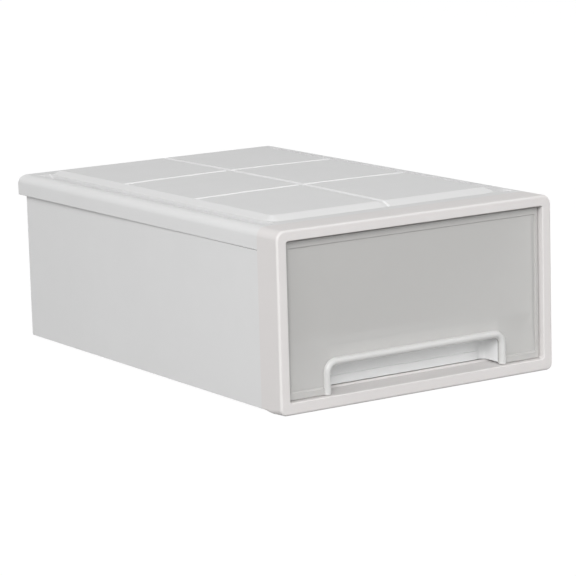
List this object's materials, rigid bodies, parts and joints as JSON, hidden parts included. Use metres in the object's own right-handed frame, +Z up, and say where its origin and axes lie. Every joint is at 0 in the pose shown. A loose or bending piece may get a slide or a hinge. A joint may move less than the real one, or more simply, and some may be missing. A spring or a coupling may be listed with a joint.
{
  "type": "stackable drawer box",
  "caption": "Low rectangular stacking storage box: pale moulded case with a framed mouth, a raised grooved stacking platform, and a sliding drawer with clear front and recessed pull.",
  "frame": {"origin": "middle of the box's plan on the surface that it stands on", "axes": "+Z up, the drawer opens towards -Y, +X to the right when seen from the front"},
  "size_m": [0.24, 0.372, 0.1347],
  "materials": {
    "warm_white_plastic": "satin warm white moulded plastic",
    "case_plastic": "fine matt pale grey-white moulded plastic",
    "frosted_plastic": "frosted translucent plastic",
    "clear_front_plastic": "clear, slightly smoky plastic with a smooth face",
    "pull_plastic": "frosted translucent plastic, smooth"
  },
  "bodies": {
    "case": {"front_frame": "warm_white_plastic", "top_board": "case_plastic", "left_side_board": "case_plastic", "right_side_board": "case_plastic", "back_board": "case_plastic", "base_board": "case_plastic"},
    "drawer": {"drawer_tub": "frosted_plastic", "drawer_front": "clear_front_plastic", "pull_pocket": "frosted_plastic", "pull_lip": "pull_plastic"}
  },
  "joints": [
    {"name": "drawer_slide", "type": "slide", "parent": "case", "child": "drawer", "axis": [0, -1, 0], "range_m": [0, 0.28]}
  ]
}
